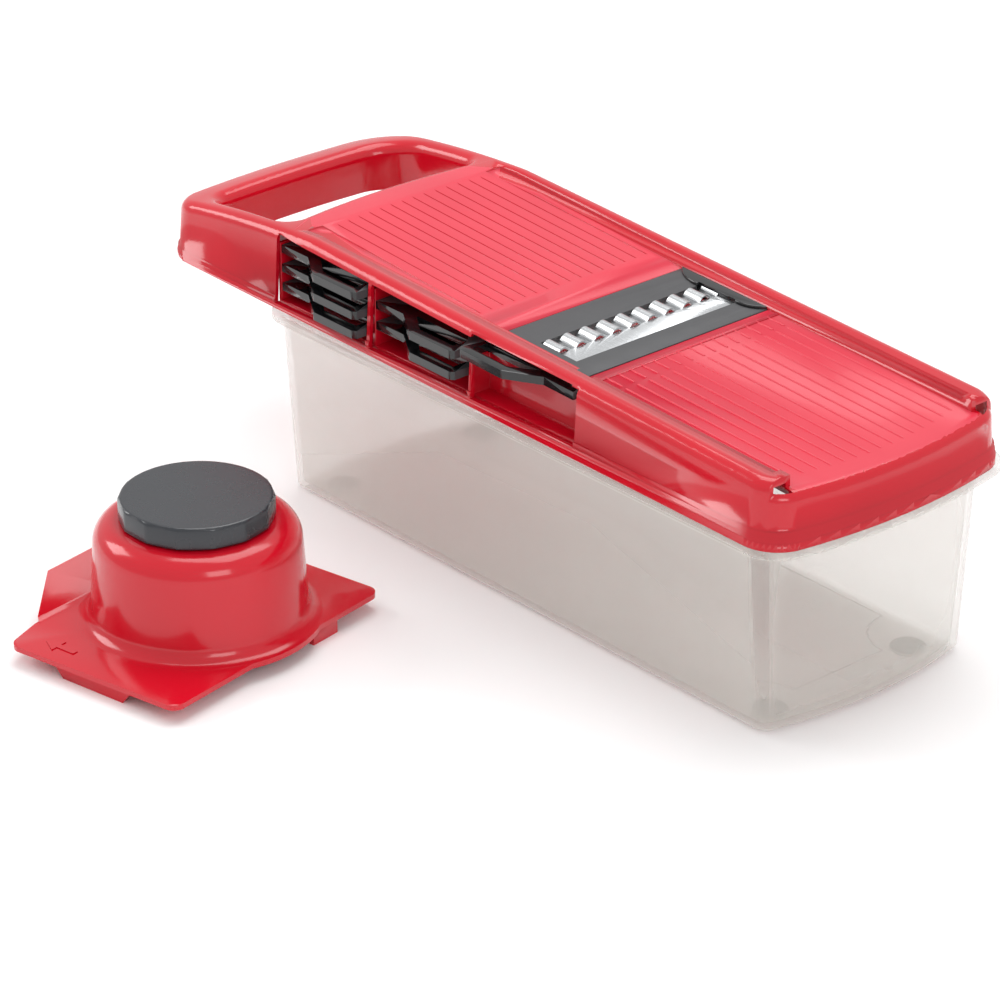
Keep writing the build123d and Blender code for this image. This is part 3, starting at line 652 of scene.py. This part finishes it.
@dataclass
class FoodHolder:
    """The domed food holder: shell, knob with flats round its edge, pusher and pins.

    Attributes:
        finishes: the shared materials.
        flats: number of shallow flats round the knob's edge.
        flatness: 1 for true flats, 0 for a round edge.
        place: the holder's middle on the table and its turn in degrees.
        plate_top: height of the top of its plate.
    """

    finishes: Finishes
    flats: int = 14
    flatness: float = 0.7
    place: tuple[float, float, float] = (-0.065, -0.157, 10.5)
    plate_top: float = 0.0082

    def build(self) -> None:
        """Dress the shell and pusher, and make the knob."""
        refined("holder_shell", self.finishes.get("red"), 0.0004)
        refined("holder_pusher", self.finishes.get("red"))
        refined("holder_pins", self.finishes.get("steel"))
        self.knob()
        self.arrow()

    def arrow(self) -> None:
        """A plain raised arrow on the plate, which points at the finger guard."""
        outline = [(-0.0290, -0.0550), (-0.0225, -0.0590), (-0.0225, -0.0562),
                   (-0.0140, -0.0562), (-0.0140, -0.0538), (-0.0225, -0.0538),
                   (-0.0225, -0.0510)]
        turn = Matrix.Rotation(math.radians(self.place[2]), 3, "Z")
        mesh = bmesh.new()
        rings = [[mesh.verts.new(turn @ Vector((u, v, 0))
                                 + Vector((self.place[0], self.place[1], height)))
                  for u, v in outline]
                 for height in (self.plate_top - 0.0003, self.plate_top + 0.0004)]
        for index in range(len(outline)):
            after = (index + 1) % len(outline)
            mesh.faces.new((rings[0][index], rings[0][after], rings[1][after],
                            rings[1][index]))
        mesh.faces.new(rings[0][::-1])
        mesh.faces.new(rings[1])
        bmesh.ops.recalc_face_normals(mesh, faces=mesh.faces)
        mesh_piece("holder_arrow", mesh, self.finishes.get("red"), "holder")

    def knob(self) -> None:
        """A turned knob with a flat top and shallow flats round its edge."""
        low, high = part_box("holder_knob")
        centre = (low + high) / 2
        radius, height = (high.x - low.x) / 2, high.z - low.z
        wall, hub, top_edge = radius - 0.0022, 0.0108, 0.0293
        profile = [(0.0, 0.0093), (0.014, 0.0093), (0.0270, 0.0093), (0.0284, 0.0093),
                   (0.0288, 0.00928), (0.0292, 0.0091),
                   (0.0298, 0.0087), (radius - 0.0001, 0.0080), (radius - 0.0001, 0.0008),
                   (radius - 0.0014, 0.0), (wall, 0.0), (wall, 0.0045), (hub, 0.0045),
                   (hub, 0.0), (0.00845, 0.0), (0.00845, 0.0051), (0.0, 0.0051)]
        mesh = bmesh.new()
        steps = 168
        rings = []
        for r, z in profile:
            if r == 0.0:
                rings.append([mesh.verts.new((centre.x, centre.y, low.z + z))])
                continue
            ring = []
            for s in range(steps):
                angle = 2 * math.pi * s / steps
                off = angle % (2 * math.pi / self.flats) - math.pi / self.flats
                chord = math.cos(math.pi / self.flats) / math.cos(off)
                reach = r * (1 - self.flatness + self.flatness * chord) if r > top_edge else r
                ring.append(mesh.verts.new((centre.x + reach * math.cos(angle),
                                            centre.y + reach * math.sin(angle),
                                            low.z + min(z, height))))
            rings.append(ring)
        for first, second in zip(rings, rings[1:]):
            for s in range(steps):
                after = (s + 1) % steps
                corners = [first[s % len(first)], second[s % len(second)],
                           second[after % len(second)], first[after % len(first)]]
                mesh.faces.new(list(dict.fromkeys(corners)))
        bmesh.ops.recalc_face_normals(mesh, faces=mesh.faces)
        piece = mesh_piece("knob_turned", mesh, self.finishes.get("knob"), "plunger",
                           30.0)
        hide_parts("holder_knob")


@dataclass
class Studio:
    """Pale floor, soft lights and the camera.

    Attributes:
        azimuth: the camera's turn about Z, in degrees from looking along +Y.
        elevation: its height angle, in degrees.
        distance: its distance from the origin along its own axis.
        offset: its sideways and upward shift, in metres.
        lens: focal length for a 36 mm wide sensor.
    """

    azimuth: float = 48.89
    elevation: float = 26.56
    distance: float = 1.7442
    offset: tuple[float, float] = (-0.04581, 0.02556)
    lens: float = 158.4

    def build(self) -> None:
        """Set up the floor, the lights and the camera."""
        self.floor()
        self.lights()
        self.camera()

    def floor(self) -> None:
        """A wide pale floor at the table's height."""
        mesh = bmesh.new()
        bmesh.ops.create_grid(mesh, x_segments=1, y_segments=1, size=6.0)
        data = bpy.data.meshes.new("floor")
        mesh.to_mesh(data)
        mesh.free()
        material = bpy.data.materials.new("Seamless_white_paper")
        material.use_nodes = True
        shader = material.node_tree.nodes["Principled BSDF"]
        shader.inputs["Base Color"].default_value = linear("#FAFAFA")
        shader.inputs["Roughness"].default_value = 0.9
        shader.inputs["Specular IOR Level"].default_value = 0.1
        data.materials.append(material)
        floor = bpy.data.objects.new("floor", data)
        bpy.context.scene.collection.objects.link(floor)

    def lights(self) -> None:
        """A bright surround with three large soft boxes."""
        # plain sRGB, so that white paper stays white and the red stays saturated
        bpy.context.scene.view_settings.view_transform = "Standard"
        world = bpy.data.worlds.new("studio")
        bpy.context.scene.world = world
        world.use_nodes = True
        world.node_tree.nodes["Background"].inputs["Color"].default_value = (1, 1, 1, 1)
        world.node_tree.nodes["Background"].inputs["Strength"].default_value = 0.75
        for name, place, size, power in (("overhead", (-0.3, 0.5, 1.8), 1.4, 18.0),
                                         ("left", (-1.7, -0.9, 1.2), 0.9, 12.0),
                                         ("right", (1.6, -0.6, 1.0), 0.8, 7.0)):
            data = bpy.data.lights.new(name, "AREA")
            data.shape, data.size, data.energy = "SQUARE", size, power
            light = bpy.data.objects.new(name, data)
            light.location = place
            aim = Vector((-0.03, -0.05, 0.05)) - Vector(place)
            light.rotation_euler = aim.to_track_quat("-Z", "Y").to_euler()
            bpy.context.scene.collection.objects.link(light)

    def camera(self) -> None:
        """A long lens that looks down on the slicer's low front corner."""
        turn, rise = math.radians(self.azimuth), math.radians(self.elevation)
        back = Vector((math.sin(turn) * math.cos(rise), -math.cos(turn) * math.cos(rise),
                       math.sin(rise)))
        right = Vector((math.cos(turn), math.sin(turn), 0))
        up = back.cross(right)
        data = bpy.data.cameras.new("camera")
        data.sensor_width, data.lens = 36.0, self.lens
        data.clip_start, data.clip_end = 0.05, 30.0
        camera = bpy.data.objects.new("camera", data)
        place = back * self.distance + right * self.offset[0] + up * self.offset[1]
        camera.matrix_world = Matrix.Translation(place) @ \
            Matrix((right, up, back)).transposed().to_4x4()
        bpy.context.scene.collection.objects.link(camera)
        bpy.context.scene.camera = camera


def main() -> None:
    """Build every sub-assembly and the studio."""
    logging.basicConfig(level=logging.INFO, format="%(name)s: %(message)s")
    finishes = Finishes()
    for part in (SlicingFrame(finishes), CatchBox(finishes), Inserts(finishes),
                 FoodHolder(finishes), Studio()):
        LOG.info("building %s", type(part).__name__)
        part.build()


if __name__ == "__main__":
    main()
